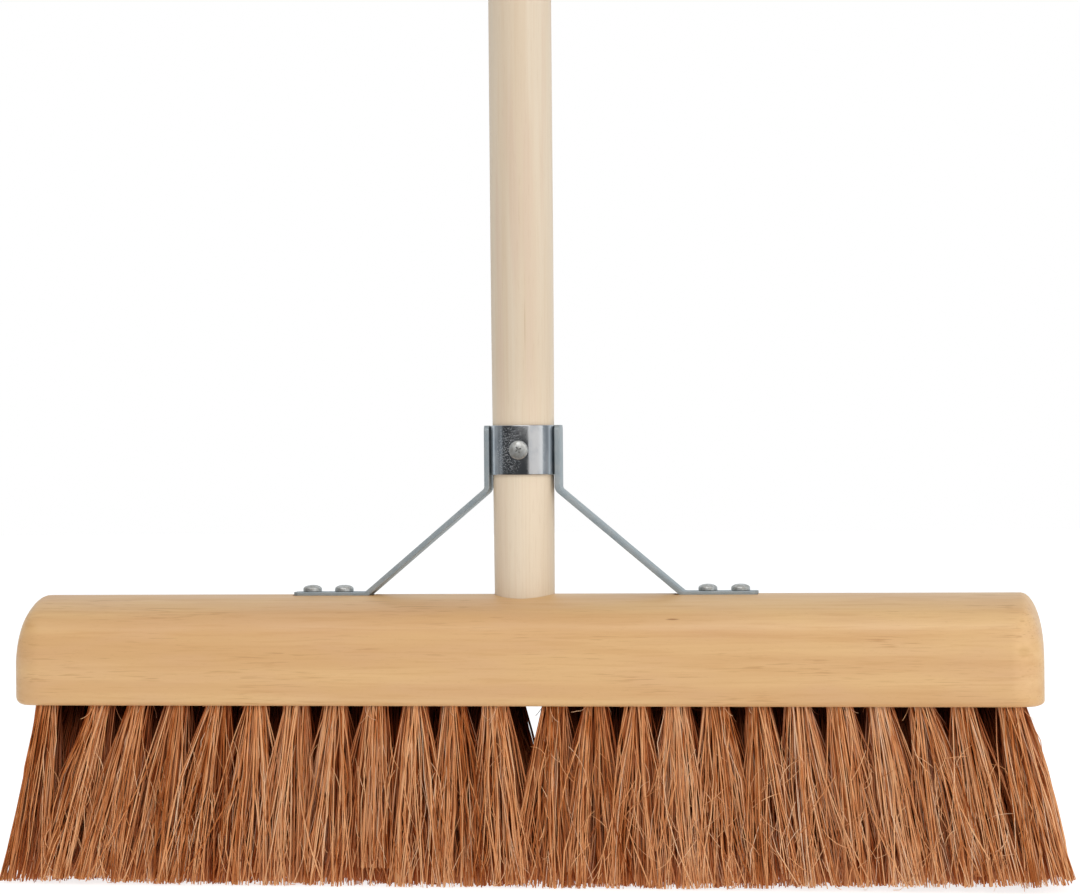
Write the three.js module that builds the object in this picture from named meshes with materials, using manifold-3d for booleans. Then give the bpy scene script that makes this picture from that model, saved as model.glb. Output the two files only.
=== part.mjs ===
// Coco push broom: a varnished wooden stock carries five staggered rows of coconut fibre tufts,
// and a round handle stands in its socket, braced by a bent steel stay.
// Millimetres, +Z up. The origin lies on the floor under the middle of the stock,
// X runs along the stock and -Y is the front.

import * as THREE from 'three';
import { mergeVertices } from 'three/addons/utils/BufferGeometryUtils.js';
import Module from 'manifold-3d';

// Stock, the wooden block of the head
const stockLength = 457;
const stockDepth = 64;
const stockHeight = 48;
const crownRadius = 57;
const shoulderRadius = 13;
const arrisRadius = 3.5;
const planCornerRadius = 15;
const endRoundLength = 13;
const endRoundHeight = 27;

// Handle, a turned pole whose lower end tapers into the socket
const handleLength = 1220;
const handleRadius = 14;
const handleFootRadius = 13.25;
const taperLength = 167;
const socketDepth = 28;
const handleTopRound = 6;
const handleFootChamfer = 1;

// Collar band, a steel strip bent round the handle with its seam at the back
const bandHeight = 22;
const bandThickness = 1;
const bandRise = 53;
const seamWidth = 1.2;

// Legs of the stay, flat strips from the collar band to the top of the stock
const stripWidth = 12;
const stripThickness = 2.5;
const elbowRise = 46.5;
const bendRadius = 2.5;
const footStart = 71;
const footLength = 33;
const footCornerRadius = 2.5;
const footSeatDepth = 1.2;

// Screws, with pan heads and cross recesses
const screwShankRadius = 2.1;
const screwLength = 22;
const screwTipLength = 5;
const screwHeadRadius = 4.2;
const screwHeadHeight = 3;
const screwHeadEdge = 1.2;
const footScrewInset = 7.7;
const footScrewSpacing = 14.5;
const collarScrewLength = 16;
const collarHeadHeight = 2.4;
const recessWidth = 1.1;
const recessSpan = 4.4;
const recessDepth = 1.5;

// Bristles, tufts of coconut fibre set in rows in the underside of the stock
const trimLength = 79;
const tuftColumns = 24;
const tuftRows = 5;
const tuftHoleRadius = 4.7;
const columnMargin = 15.5;
const centreGap = 25.6;
const endPitch = 21.4;
const rowMargin = 9.95;
const tipOverhangEnd = 12.5;
const tipOverhangSide = 2;
const strandsPerTuft = 4;
const strandSides = 3;
const strandRootRadius = 1.6;
const strandMiddleRadius = 1.35;
const strandTipRadius = 1;
const strandClearance = 0.2;
const trimCut = 0.5;
const rootBite = 1;
const sliceDepth = 6;

// Gap between pieces that touch, and how far a cutter runs past what it cuts
const clearance = 0.3;
const overrun = 5;

// Heights above the underside of the stock
const socketFloor = stockHeight - socketDepth;
const handleTop = socketFloor + handleLength;
const bandBottom = stockHeight + bandRise;
const bandTop = bandBottom + bandHeight;
const bandMiddle = (bandBottom + bandTop) / 2;
const footUnderside = stockHeight - footSeatDepth;
const footTop = footUnderside + stripThickness;

// Distances from the handle's axis
const bandInner = handleRadiusAt(bandTop) + clearance;
const bandOuter = bandInner + bandThickness;
const legInner = bandOuter + clearance;
const footEnd = footStart + footLength;
const footScrewPlaces = [footEnd - footScrewInset, footEnd - footScrewInset - footScrewSpacing];

// Facets: steps round a full turn, and steps round a corner
const poleSteps = 48;
const screwSteps = 16;
const cornerSteps = 6;
const bendSteps = 5;

const mergeDistance = 1e-4;
const wasm = await Module();
wasm.setup();

// Directions in which an outline is pushed out: its own x, its own y, then the push
const alongX = new THREE.Matrix4().makeBasis(
  new THREE.Vector3(0, 1, 0), new THREE.Vector3(0, 0, 1), new THREE.Vector3(1, 0, 0));
const alongY = new THREE.Matrix4().makeBasis(
  new THREE.Vector3(1, 0, 0), new THREE.Vector3(0, 0, 1), new THREE.Vector3(0, -1, 0));

// Radius of the handle at a height above the underside of the stock
function handleRadiusAt(height) {
  const share = (height - socketFloor) / taperLength;
  return THREE.MathUtils.lerp(handleFootRadius, handleRadius, Math.min(share, 1));
}

// A closed geometry as a solid that can be joined and cut
function solidOf(geometry) {
  const bare = geometry.index ? geometry.toNonIndexed() : geometry.clone();
  bare.deleteAttribute('normal');
  bare.deleteAttribute('uv');
  const merged = mergeVertices(bare, mergeDistance);
  const corners = merged.index.array;
  const kept = [];
  for (let i = 0; i < corners.length; i += 3) {
    const [a, b, c] = [corners[i], corners[i + 1], corners[i + 2]];
    if (a !== b && b !== c && c !== a) kept.push(a, b, c);
  }
  return new wasm.Manifold(new wasm.Mesh({
    numProp: 3,
    vertProperties: merged.attributes.position.array,
    triVerts: Uint32Array.from(kept),
  }));
}

// A solid back as a geometry
function geometryOf(solid) {
  const mesh = solid.getMesh();
  const geometry = new THREE.BufferGeometry();
  geometry.setAttribute('position', new THREE.BufferAttribute(mesh.vertProperties, 3));
  geometry.setIndex(new THREE.BufferAttribute(mesh.triVerts, 1));
  geometry.computeVertexNormals();
  return geometry;
}

// An outline pushed out by a depth and centred on the direction of the push
function pushed(outline, depth, basis = null) {
  const geometry = new THREE.ExtrudeGeometry(outline, {
    depth,
    bevelEnabled: false,
    steps: 1,
    curveSegments: cornerSteps,
  });
  geometry.translate(0, 0, -depth / 2);
  return basis ? geometry.applyMatrix4(basis) : geometry;
}

// A profile of [radius, height] pairs turned round the Z axis
function turned(profile, steps) {
  const points = profile.map(([radius, height]) => new THREE.Vector2(radius, height));
  return new THREE.LatheGeometry(points, steps).rotateX(Math.PI / 2);
}

// A rectangle with round corners, centred on the origin
function roundedRectangle(width, height, radius) {
  const [x, y] = [width / 2, height / 2];
  const outline = new THREE.Shape();
  outline.moveTo(-x + radius, -y);
  outline.absarc(x - radius, -y + radius, radius, -Math.PI / 2, 0);
  outline.absarc(x - radius, y - radius, radius, 0, Math.PI / 2);
  outline.absarc(-x + radius, y - radius, radius, Math.PI / 2, Math.PI);
  outline.absarc(-x + radius, -y + radius, radius, Math.PI, Math.PI * 1.5);
  return outline;
}

// Points on a quarter circle, as [radius, height] pairs for a turned profile
function roundedRim(centreRadius, centreHeight, radius) {
  const pairs = [];
  for (let i = 0; i <= cornerSteps; i += 1) {
    const angle = (Math.PI / 2) * (i / cornerSteps);
    pairs.push([centreRadius + radius * Math.cos(angle), centreHeight + radius * Math.sin(angle)]);
  }
  return pairs;
}

// Cross-section of the stock: flat base, straight sides, round shoulders and a crown
function stockSection() {
  const half = stockDepth / 2;
  const shoulderY = half - shoulderRadius;
  const crownCentre = stockHeight - crownRadius;
  const shoulderRise = Math.sqrt((crownRadius - shoulderRadius) ** 2 - shoulderY ** 2);
  const shoulderZ = crownCentre + shoulderRise;
  const meeting = Math.atan2(shoulderRise, shoulderY);
  const outline = new THREE.Shape();
  outline.moveTo(-half + arrisRadius, 0);
  outline.absarc(half - arrisRadius, arrisRadius, arrisRadius, -Math.PI / 2, 0);
  outline.absarc(shoulderY, shoulderZ, shoulderRadius, 0, meeting);
  outline.absarc(0, crownCentre, crownRadius, meeting, Math.PI - meeting);
  outline.absarc(-shoulderY, shoulderZ, shoulderRadius, Math.PI - meeting, Math.PI);
  outline.absarc(-half + arrisRadius, arrisRadius, arrisRadius, Math.PI, Math.PI * 1.5);
  return outline;
}

// Front view of the stock: each end is sanded round at the top
function stockElevation() {
  const half = stockLength / 2;
  const [endX, endZ] = [half - endRoundLength, stockHeight - endRoundHeight];
  const outline = new THREE.Shape();
  outline.moveTo(-half + arrisRadius, 0);
  outline.absarc(half - arrisRadius, arrisRadius, arrisRadius, -Math.PI / 2, 0);
  outline.absellipse(endX, endZ, endRoundLength, endRoundHeight, 0, Math.PI / 2);
  outline.absellipse(-endX, endZ, endRoundLength, endRoundHeight, Math.PI / 2, Math.PI);
  outline.absarc(-half + arrisRadius, arrisRadius, arrisRadius, Math.PI, Math.PI * 1.5);
  return outline;
}

// The block as it comes from the moulder, sawn to length and sanded at the ends
function stockBlank() {
  const moulding = solidOf(pushed(stockSection(), stockLength, alongX));
  const elevation = solidOf(pushed(stockElevation(), stockDepth + overrun, alongY));
  const plan = roundedRectangle(stockLength, stockDepth, planCornerRadius);
  const planBlock = pushed(plan, stockHeight + overrun).translate(0, 0, stockHeight / 2);
  return moulding.intersect(elevation).intersect(solidOf(planBlock));
}

// Profile of the handle, grown by a margin for the socket that it fits
function handleProfile(margin) {
  const bottom = socketFloor - margin;
  const footRadius = handleFootRadius + margin;
  return [
    [0, bottom],
    [footRadius - handleFootChamfer, bottom],
    [footRadius, bottom + handleFootChamfer],
    [handleRadius + margin, socketFloor + taperLength],
    ...roundedRim(handleRadius + margin - handleTopRound, handleTop - handleTopRound, handleTopRound),
    [0, handleTop],
  ];
}

// Profile of a screw with its head's underside at height zero, grown by a margin for its hole
function shankProfile(length, margin) {
  return [
    [0, -length - margin],
    [screwShankRadius + margin, -length - margin + screwTipLength],
    [screwShankRadius + margin, 0],
  ];
}

// A screw that points down: pan head, plain shank and a pointed tip
function screw(length, headHeight) {
  const crown = [];
  const rise = headHeight - screwHeadEdge;
  for (let i = 0; i < cornerSteps; i += 1) {
    const angle = (Math.PI / 2) * (i / cornerSteps);
    crown.push([screwHeadRadius * Math.cos(angle), screwHeadEdge + rise * Math.sin(angle)]);
  }
  const body = solidOf(turned([
    ...shankProfile(length, 0),
    [screwHeadRadius, 0],
    ...crown,
    [0, headHeight],
  ], screwSteps));
  const slot = new THREE.BoxGeometry(recessSpan, recessWidth, recessDepth * 2);
  const across = slot.clone().rotateZ(Math.PI / 2);
  const recess = solidOf(slot).add(solidOf(across)).translate([0, 0, headHeight]);
  return geometryOf(body.subtract(recess));
}

// The hole that a screw needs below its head
function screwHole(length) {
  const profile = shankProfile(length, clearance);
  return solidOf(turned([...profile, [screwShankRadius + clearance, overrun], [0, overrun]], screwSteps));
}

// Outline of a flat strip bent along a line of corners, seen edge on
function bentStrip(corners, thickness, radius) {
  const left = [];
  const right = [];
  const lay = (point, normal) => {
    left.push(point.clone().addScaledVector(normal, thickness / 2));
    right.unshift(point.clone().addScaledVector(normal, -thickness / 2));
  };
  const heading = (i) => corners[i + 1].clone().sub(corners[i]).normalize();
  const leftOf = (direction) => new THREE.Vector2(-direction.y, direction.x);
  const last = corners.length - 1;
  lay(corners[0], leftOf(heading(0)));
  for (let i = 1; i < last; i += 1) {
    const [before, after] = [heading(i - 1), heading(i)];
    const turn = Math.atan2(before.cross(after), before.dot(after));
    const inward = leftOf(before).multiplyScalar(Math.sign(turn));
    const reach = radius * Math.tan(Math.abs(turn) / 2);
    const centre = corners[i].clone().addScaledVector(before, -reach).addScaledVector(inward, radius);
    for (let k = 0; k <= bendSteps; k += 1) {
      const angle = turn * (k / bendSteps);
      const spoke = inward.clone().rotateAround(new THREE.Vector2(), angle);
      const normal = leftOf(before).rotateAround(new THREE.Vector2(), angle);
      lay(centre.clone().addScaledVector(spoke, -radius), normal);
    }
  }
  lay(corners[last], leftOf(heading(last - 1)));
  return new THREE.Shape([...left, ...right]);
}

// One leg of the stay: upright on the band, slanting strut, and a foot with two screw holes
function leg(side) {
  const middle = stripThickness / 2;
  const corners = [
    [legInner + middle, bandTop],
    [legInner + middle, stockHeight + elbowRise],
    [footStart, footUnderside + middle],
    [footEnd, footUnderside + middle],
  ].map(([x, z]) => new THREE.Vector2(x, z));
  const strip = bentStrip(corners, stripThickness, bendRadius + middle);
  const plan = roundedRectangle(footEnd * 2, stripWidth, footCornerRadius);
  const planBlock = pushed(plan, bandTop + overrun).translate(0, 0, bandTop / 2);
  let solid = solidOf(pushed(strip, stripWidth, alongY)).intersect(solidOf(planBlock));
  for (const x of footScrewPlaces) {
    solid = solid.subtract(screwHole(screwLength).translate([x, 0, footTop]));
  }
  return geometryOf(side > 0 ? solid : solid.mirror([1, 0, 0]));
}

// The collar band: a ring with an open seam at the back and a screw hole in front
function collarBand() {
  const ring = solidOf(turned([
    [bandInner, bandBottom],
    [bandOuter, bandBottom],
    [bandOuter, bandTop],
    [bandInner, bandTop],
    [bandInner, bandBottom],
  ], poleSteps));
  const seam = new THREE.BoxGeometry(seamWidth, bandOuter + overrun, bandHeight + overrun);
  seam.translate(0, (bandOuter + overrun) / 2, bandMiddle);
  return geometryOf(ring.subtract(solidOf(seam)).subtract(collarScrewHole()));
}

// The hole of the collar screw, through the front of the band and into the handle
function collarScrewHole() {
  return screwHole(collarScrewLength).rotate([90, 0, 0]).translate([0, -bandOuter, bandMiddle]);
}

// The handle, with the pilot hole of the collar screw
function handle() {
  return geometryOf(solidOf(turned(handleProfile(0), poleSteps)).subtract(collarScrewHole()));
}

// Places of the tufts at the stock, and where their tips share the width evenly
const outerColumn = stockLength / 2 - columnMargin;
const columnPitch = (outerColumn - endPitch - centreGap / 2) / (tuftColumns / 2 - 2);
const rowPitch = (stockDepth - 2 * rowMargin) / (tuftRows - 1);
const tipColumnPitch = (stockLength + 2 * tipOverhangEnd) / tuftColumns;
const tipRowPitch = (stockDepth + 2 * tipOverhangSide) / tuftRows;

// Columns and rows counted from the middle of the stock
const columnIndex = (column) => column - (tuftColumns - 1) / 2;
const rowIndex = (row) => row - (tuftRows - 1) / 2;

// Distance of a column from the middle of the stock, with the wider gap under the handle
// and the wider step to the end tufts
function columnPlace(column) {
  const pitches = Math.abs(columnIndex(column)) - 1 / 2;
  const isEnd = pitches === tuftColumns / 2 - 1;
  const place = isEnd ? outerColumn : centreGap / 2 + pitches * columnPitch;
  return Math.sign(columnIndex(column)) * place;
}

// Distance of a row from the middle of the stock
function rowPlace(row) {
  return rowIndex(row) * rowPitch;
}

// The tufts of a row: every second row is staggered, with its tufts halfway between those
// of its neighbours and none under the handle
function tuftsOfRow(row) {
  const stagger = row % 2;
  const tufts = [];
  for (let column = 0; column + stagger < tuftColumns; column += 1) {
    const index = (columnIndex(column) + columnIndex(column + stagger)) / 2;
    const rootX = (columnPlace(column) + columnPlace(column + stagger)) / 2;
    if (index !== 0) tufts.push({ index, rootX, tipX: index * tipColumnPitch });
  }
  return tufts;
}

// A row's slice is as wide as the rows are apart, less a gap, and its tufts fit inside it
const sliceWidth = rowPitch - clearance;
const tuftRadius = Math.min(tuftHoleRadius, sliceWidth / 2 - strandClearance);

// Share of its spread that a tuft has reached at each ring of its strands
const ringShares = [0, 0.45, 1];
const ringRadii = [strandRootRadius, strandMiddleRadius, strandTipRadius];

// Each tuft is turned from its neighbour by this angle, so that no two look alike
const goldenAngle = Math.PI * (3 - Math.sqrt(5));

// The three ring centres of one strand; each strand keeps its cut length as it leans out
function strandLine(tuft, row, strand) {
  const root = new THREE.Vector2(tuft.rootX, rowPlace(row));
  const tip = new THREE.Vector2(tuft.tipX, rowIndex(row) * tipRowPitch);
  const turn = goldenAngle * (Math.abs(tuft.index) + tuftColumns * Math.abs(rowIndex(row)));
  const angle = turn + (2 * Math.PI * strand) / strandsPerTuft;
  const outward = new THREE.Vector2(Math.sign(root.x) * Math.cos(angle), Math.sin(angle));
  if (root.y < 0) outward.y *= -1;
  const centres = ringShares.map((share, ring) => {
    const cell = new THREE.Vector2(columnPitch, rowPitch)
      .lerp(new THREE.Vector2(tipColumnPitch, tipRowPitch), share)
      .divideScalar(2)
      .subScalar(strandClearance);
    if (ring === 0) cell.setScalar(tuftRadius);
    return root.clone().lerp(tip, share).add(cell.subScalar(ringRadii[ring]).multiply(outward));
  });
  const lean = centres[2].distanceTo(centres[0]);
  const drop = Math.sqrt((trimLength + trimCut) ** 2 - lean ** 2);
  const heights = [rootBite, -drop * ringShares[1], -drop];
  return { centres, heights, angle: outward.angle() };
}

// The strands of one row as one closed geometry: rings of corners, sides, and two end caps
function strandsOfRow(row) {
  const positions = [];
  const corners = [];
  for (const tuft of tuftsOfRow(row)) {
    for (let strand = 0; strand < strandsPerTuft; strand += 1) {
      const { centres, heights, angle } = strandLine(tuft, row, strand);
      const first = positions.length / 3;
      centres.forEach((centre, ring) => {
        for (let side = 0; side < strandSides; side += 1) {
          const turn = angle + (2 * Math.PI * side) / strandSides;
          const corner = new THREE.Vector2(Math.cos(turn), Math.sin(turn));
          corner.multiplyScalar(ringRadii[ring]).add(centre);
          positions.push(corner.x, corner.y, heights[ring]);
        }
      });
      const at = (ring, side) => first + ring * strandSides + (side % strandSides);
      for (let side = 0; side < strandSides; side += 1) {
        for (let ring = 0; ring + 1 < centres.length; ring += 1) {
          corners.push(at(ring, side), at(ring + 1, side), at(ring + 1, side + 1));
          corners.push(at(ring, side), at(ring + 1, side + 1), at(ring, side + 1));
        }
      }
      for (let side = 1; side + 1 < strandSides; side += 1) {
        corners.push(at(0, 0), at(0, side), at(0, side + 1));
        corners.push(at(2, 0), at(2, side + 1), at(2, side));
      }
    }
  }
  const geometry = new THREE.BufferGeometry();
  geometry.setAttribute('position', new THREE.Float32BufferAttribute(positions, 3));
  geometry.setIndex(corners);
  return geometry;
}

// The slice of the stock's underside that holds one row, or its share of their pocket
function rowStrip(row, bottom, margin) {
  const width = sliceWidth + 2 * margin;
  const outline = roundedRectangle(2 * tuftsOfRow(row).at(-1).rootX + width, width, width / 2);
  const height = sliceDepth + margin - bottom;
  return solidOf(pushed(outline, height).translate(0, rowPlace(row), bottom + height / 2));
}

// One row of bristles: strands fused to their slice and trimmed flat where they meet the floor
function bristleRow(row) {
  const width = stockLength + 2 * (tipOverhangEnd + overrun);
  const floor = new THREE.BoxGeometry(width, stockDepth + 2 * (tipOverhangSide + overrun), overrun);
  floor.translate(0, 0, -trimLength - overrun / 2);
  const joined = rowStrip(row, 0, 0).add(solidOf(strandsOfRow(row)));
  return geometryOf(joined.subtract(solidOf(floor)));
}

// The stock: blank, socket, pocket for the tuft rows, foot seats and screw holes
function stock() {
  let solid = stockBlank().subtract(solidOf(turned(handleProfile(clearance), poleSteps)));
  for (let row = 0; row < tuftRows; row += 1) {
    solid = solid.subtract(rowStrip(row, -overrun, clearance));
  }
  const seatStart = footStart - bendRadius - footSeatDepth;
  const seatLength = footEnd + clearance - seatStart;
  const seat = new THREE.BoxGeometry(seatLength, stripWidth + 2 * clearance, overrun);
  seat.translate(seatStart + seatLength / 2, 0, footUnderside - clearance + overrun / 2);
  const seatCut = solidOf(seat);
  let cuts = seatCut.add(seatCut.mirror([1, 0, 0]));
  for (const x of footScrewPlaces) {
    const hole = screwHole(screwLength).translate([x, 0, footTop]);
    cuts = cuts.add(hole).add(hole.mirror([1, 0, 0]));
  }
  return geometryOf(solid.subtract(cuts));
}

// Finishes of the pieces
const varnishedPine = { color: 0xd9b184, roughness: 0.4, metalness: 0 };
const plainPole = { color: 0xe6d4b8, roughness: 0.5, metalness: 0 };
const coconutFibre = { color: 0xb07850, roughness: 0.9, metalness: 0 };
const zincStrip = { color: 0x8c9ea8, roughness: 0.3, metalness: 1 };
const wornScrew = { color: 0x969896, roughness: 0.4, metalness: 1 };

function piece(name, geometry, finish) {
  const mesh = new THREE.Mesh(geometry, new THREE.MeshStandardMaterial(finish));
  mesh.name = name;
  return mesh;
}

const broom = new THREE.Group();
broom.name = 'coco_push_broom';
const head = new THREE.Group();
head.position.z = trimLength;
broom.add(head);
head.add(piece('stock', stock(), varnishedPine));
head.add(piece('handle', handle(), plainPole));
['front', 'front_inner', 'middle', 'back_inner', 'back'].forEach((place, row) => {
  head.add(piece(`bristle_row_${place}`, bristleRow(row), coconutFibre));
});

const stay = new THREE.Group();
head.add(stay);
stay.add(piece('collar_band', collarBand(), zincStrip));
for (const [sideName, side] of [['left', -1], ['right', 1]]) {
  stay.add(piece(`${sideName}_leg`, leg(side), zincStrip));
  ['outer', 'inner'].forEach((place, i) => {
    const geometry = screw(screwLength, screwHeadHeight);
    const footScrew = piece(`${sideName}_foot_screw_${place}`, geometry, wornScrew);
    footScrew.position.set(side * footScrewPlaces[i], 0, footTop + clearance);
    stay.add(footScrew);
  });
}
const collarScrew = piece('collar_screw', screw(collarScrewLength, collarHeadHeight), wornScrew);
collarScrew.position.set(0, -bandOuter - clearance, bandMiddle);
collarScrew.rotation.x = Math.PI / 2;
stay.add(collarScrew);

export default broom;
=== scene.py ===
import math

import bmesh
import bpy
import numpy as np
from mathutils import Matrix, Vector


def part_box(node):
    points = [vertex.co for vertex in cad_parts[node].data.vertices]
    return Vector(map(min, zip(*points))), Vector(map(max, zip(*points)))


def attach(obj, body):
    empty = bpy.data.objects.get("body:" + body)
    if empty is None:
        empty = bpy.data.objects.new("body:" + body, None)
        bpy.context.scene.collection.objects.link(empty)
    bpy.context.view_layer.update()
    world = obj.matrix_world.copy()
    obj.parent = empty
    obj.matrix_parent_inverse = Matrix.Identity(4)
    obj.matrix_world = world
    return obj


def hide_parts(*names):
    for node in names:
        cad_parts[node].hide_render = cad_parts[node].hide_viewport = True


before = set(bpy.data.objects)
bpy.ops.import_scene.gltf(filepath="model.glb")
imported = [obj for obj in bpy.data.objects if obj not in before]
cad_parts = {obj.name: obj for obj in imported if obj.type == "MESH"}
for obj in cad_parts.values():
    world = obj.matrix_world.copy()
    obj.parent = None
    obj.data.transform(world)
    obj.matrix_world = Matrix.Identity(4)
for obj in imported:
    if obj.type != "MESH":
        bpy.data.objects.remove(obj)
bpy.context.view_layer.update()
MM = 0.001

# Camera
# Level with the steel collar and eight degrees round to the right of the front, so that
# one face of each upright of the stay shows. It leans a hair, as in the photograph.
collar_low, collar_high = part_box("collar_band")
collar_middle = (collar_low.z + collar_high.z) / 2
picture_width = 1080
focal_length = 3370
camera_turn = math.radians(8)
camera_lean = math.radians(-0.5)
camera_reach = 1500 * MM
aim_right = 7.4 * MM
aim_raise = 1.05 * MM
camera_aim = Vector((aim_right, 0, collar_middle + aim_raise))
camera_side = Vector((math.sin(camera_turn), -math.cos(camera_turn), 0))

photo_camera = bpy.data.objects.new("photo_camera", bpy.data.cameras.new("photo_camera"))
photo_camera.data.sensor_width = 36
photo_camera.data.lens = focal_length * photo_camera.data.sensor_width / picture_width
photo_camera.location = camera_aim + camera_reach * camera_side
photo_camera.rotation_euler = (
    Matrix.Rotation(camera_turn, 3, "Z")
    @ Matrix.Rotation(math.pi / 2, 3, "X")
    @ Matrix.Rotation(camera_lean, 3, "Z")
).to_euler()
bpy.context.scene.collection.objects.link(photo_camera)
bpy.context.scene.camera = photo_camera
bpy.context.scene.view_settings.view_transform = "Standard"

# Stock
# One block of pine, moulded with a crowned top, sawn to length, sanded round at the ends
# and varnished. It is bored for the handle, drilled for every tuft, and let in for the feet.
stock_low, stock_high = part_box("stock")
stock_half_length = (stock_high.x - stock_low.x) / 2
stock_half_depth = (stock_high.y - stock_low.y) / 2
stock_height = stock_high.z - stock_low.z
crown_radius = 57 * MM
shoulder_radius = 13 * MM
arris_radius = 3.5 * MM
plan_corner_radius = 15 * MM
arris_steps = 8
shoulder_steps = 14
crown_steps = 12
left_end = {"length": 10.6 * MM, "height": 34 * MM, "foot": (7.5 * MM, 3.2 * MM)}
right_end = {"length": 10 * MM, "height": 27 * MM, "foot": (5.5 * MM, 2 * MM)}
end_steps = 18
middle_steps = 24


def paint(red, green, blue):
    """A colour as painted on paper, 0 to 255, in the shaders' own numbers."""
    def light(value):
        share = value / 255
        return share / 12.92 if share <= 0.04045 else ((share + 0.055) / 1.055) ** 2.4
    return (light(red), light(green), light(blue), 1)


def arc(centre, radius, start, end, steps):
    """Points on a round corner, from one angle in degrees to another."""
    angles = [math.radians(start + (end - start) * k / steps) for k in range(steps + 1)]
    return [(centre[0] + radius * math.cos(a), centre[1] + radius * math.sin(a)) for a in angles]


def loft(name, rings, closed=False):
    """A solid skin over rings of equally many points, with flat ends unless it closes on itself."""
    count = len(rings[0])
    faces = []
    for ring in range(len(rings) if closed else len(rings) - 1):
        first, second = ring * count, (ring + 1) % len(rings) * count
        for k in range(count):
            after = (k + 1) % count
            faces.append((first + k, first + after, second + after, second + k))
    if not closed:
        faces.append(tuple(reversed(range(count))))
        faces.append(tuple(range((len(rings) - 1) * count, len(rings) * count)))
    mesh = bpy.data.meshes.new(name)
    mesh.from_pydata([point for ring in rings for point in ring], [], faces)
    made = bmesh.new()
    made.from_mesh(mesh)
    bmesh.ops.recalc_face_normals(made, faces=made.faces)
    made.to_mesh(mesh)
    made.free()
    piece = bpy.data.objects.new(name, mesh)
    bpy.context.scene.collection.objects.link(piece)
    return piece


def round_bar(name, bottom, top, bottom_radius, top_radius, sides=24):
    """A straight or tapered bar that stands on the point bottom and ends at the point top."""
    axis = (top - bottom).normalized()
    turn = Vector((0, 0, 1)).rotation_difference(axis).to_matrix()
    rings = []
    for centre, radius in ((bottom, bottom_radius), (top, top_radius)):
        circle = arc((0, 0), radius, 0, 360 * (1 - 1 / sides), sides - 1)
        rings.append([centre + turn @ Vector((x, y, 0)) for x, y in circle])
    return loft(name, rings)


def cut(piece, tools):
    """Takes tools, which don't touch one another, out of a piece and throws them away."""
    cutter = tools[0]
    shapes = bmesh.new()
    for tool in tools:
        shapes.from_mesh(tool.data)
    shapes.to_mesh(cutter.data)
    shapes.free()
    boolean = piece.modifiers.new("cut", "BOOLEAN")
    boolean.operation = "DIFFERENCE"
    boolean.solver = "EXACT"
    boolean.object = cutter
    seen = piece.evaluated_get(bpy.context.evaluated_depsgraph_get())
    mesh = bpy.data.meshes.new_from_object(seen)
    piece.modifiers.clear()
    piece.data = mesh
    for tool in tools:
        bpy.data.objects.remove(tool)


def dress(piece, finish, slot, *nodes, edge=30):
    """Gives a piece its finish and smooth faces, and puts it in the place of its CAD nodes."""
    piece.data.materials.clear()
    piece.data.materials.append(finish)
    piece.data.shade_smooth()
    piece.data.set_sharp_from_angle(angle=math.radians(edge))
    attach(piece, "root")
    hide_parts(*nodes)


def stock_section():
    """Across the stock: flat base, round arrises, straight sides, round shoulders, low crown."""
    shoulder_y = stock_half_depth - shoulder_radius
    crown_z = stock_height - crown_radius
    rise = math.sqrt((crown_radius - shoulder_radius) ** 2 - shoulder_y ** 2)
    meeting = math.degrees(math.atan2(rise, shoulder_y))
    arris_y = stock_half_depth - arris_radius
    right_half = (
        arc((arris_y, arris_radius), arris_radius, -90, 0, arris_steps)
        + arc((shoulder_y, crown_z + rise), shoulder_radius, 0, meeting, shoulder_steps)
        + arc((0, crown_z), crown_radius, meeting, 90, crown_steps)[1:]
    )
    left_half = [(-y, z) for y, z in reversed(right_half[:-1])]
    return right_half + left_half


def round_off(distance, length, height):
    """How much a rounded end has taken off at a distance from the end."""
    inward = max(0, 1 - distance / length)
    return height * (1 - math.sqrt(max(0, 1 - inward ** 2)))


def stock_ring(distance, side, end):
    """The stock's section at a distance from one of its ends."""
    bottom = round_off(distance, *end["foot"])
    top = stock_height - round_off(distance, end["length"], end["height"])
    half = stock_half_depth - round_off(distance, plan_corner_radius, plan_corner_radius)
    x = side * (stock_half_length - distance)
    return [
        (x, y * half / stock_half_depth, stock_low.z + bottom + z * (top - bottom) / stock_height)
        for y, z in stock_section()
    ]


curved = max(left_end["length"], plan_corner_radius)
end_distances = [curved * (1 - math.cos(math.pi / 2 * k / end_steps)) for k in range(end_steps + 1)]
middle_distances = [
    curved + (stock_half_length - curved) * 2 * k / middle_steps for k in range(1, middle_steps)
]
stock_rings = [stock_ring(d, -1, left_end) for d in end_distances + middle_distances]
stock_rings += [stock_ring(d, 1, right_end) for d in reversed(end_distances)]
stock = loft("pine_stock", stock_rings)

# The holes of the tufts, in five rows. Every second row is staggered, so its tufts stand in
# the gaps of its neighbours, and no row has a tuft under the handle.
tuft_columns = 24
tuft_rows = 5
tuft_hole_radius = 6.2 * MM
tuft_hole_depth = 16 * MM
left_column = {"margin": 12.5 * MM, "pitch": 24.8 * MM}
right_column = {"margin": 17.8 * MM, "pitch": 20.4 * MM}
row_margin = 9.95 * MM
centre_gap = 27 * MM
drill_drift = 3.2 * MM
drill_wander = 0.5 * MM
tip_overhang_end = 8.5 * MM
tip_overhang_side = 2 * MM
outer_column = stock_half_length - left_column["margin"]
outer_row = stock_half_depth - row_margin
row_pitch = 2 * outer_row / (tuft_rows - 1)
tip_column_pitch = 2 * (stock_half_length + tip_overhang_end) / tuft_columns
tip_row_pitch = 2 * (stock_half_depth + tip_overhang_side) / tuft_rows
drilling = np.random.default_rng(7)


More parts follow.
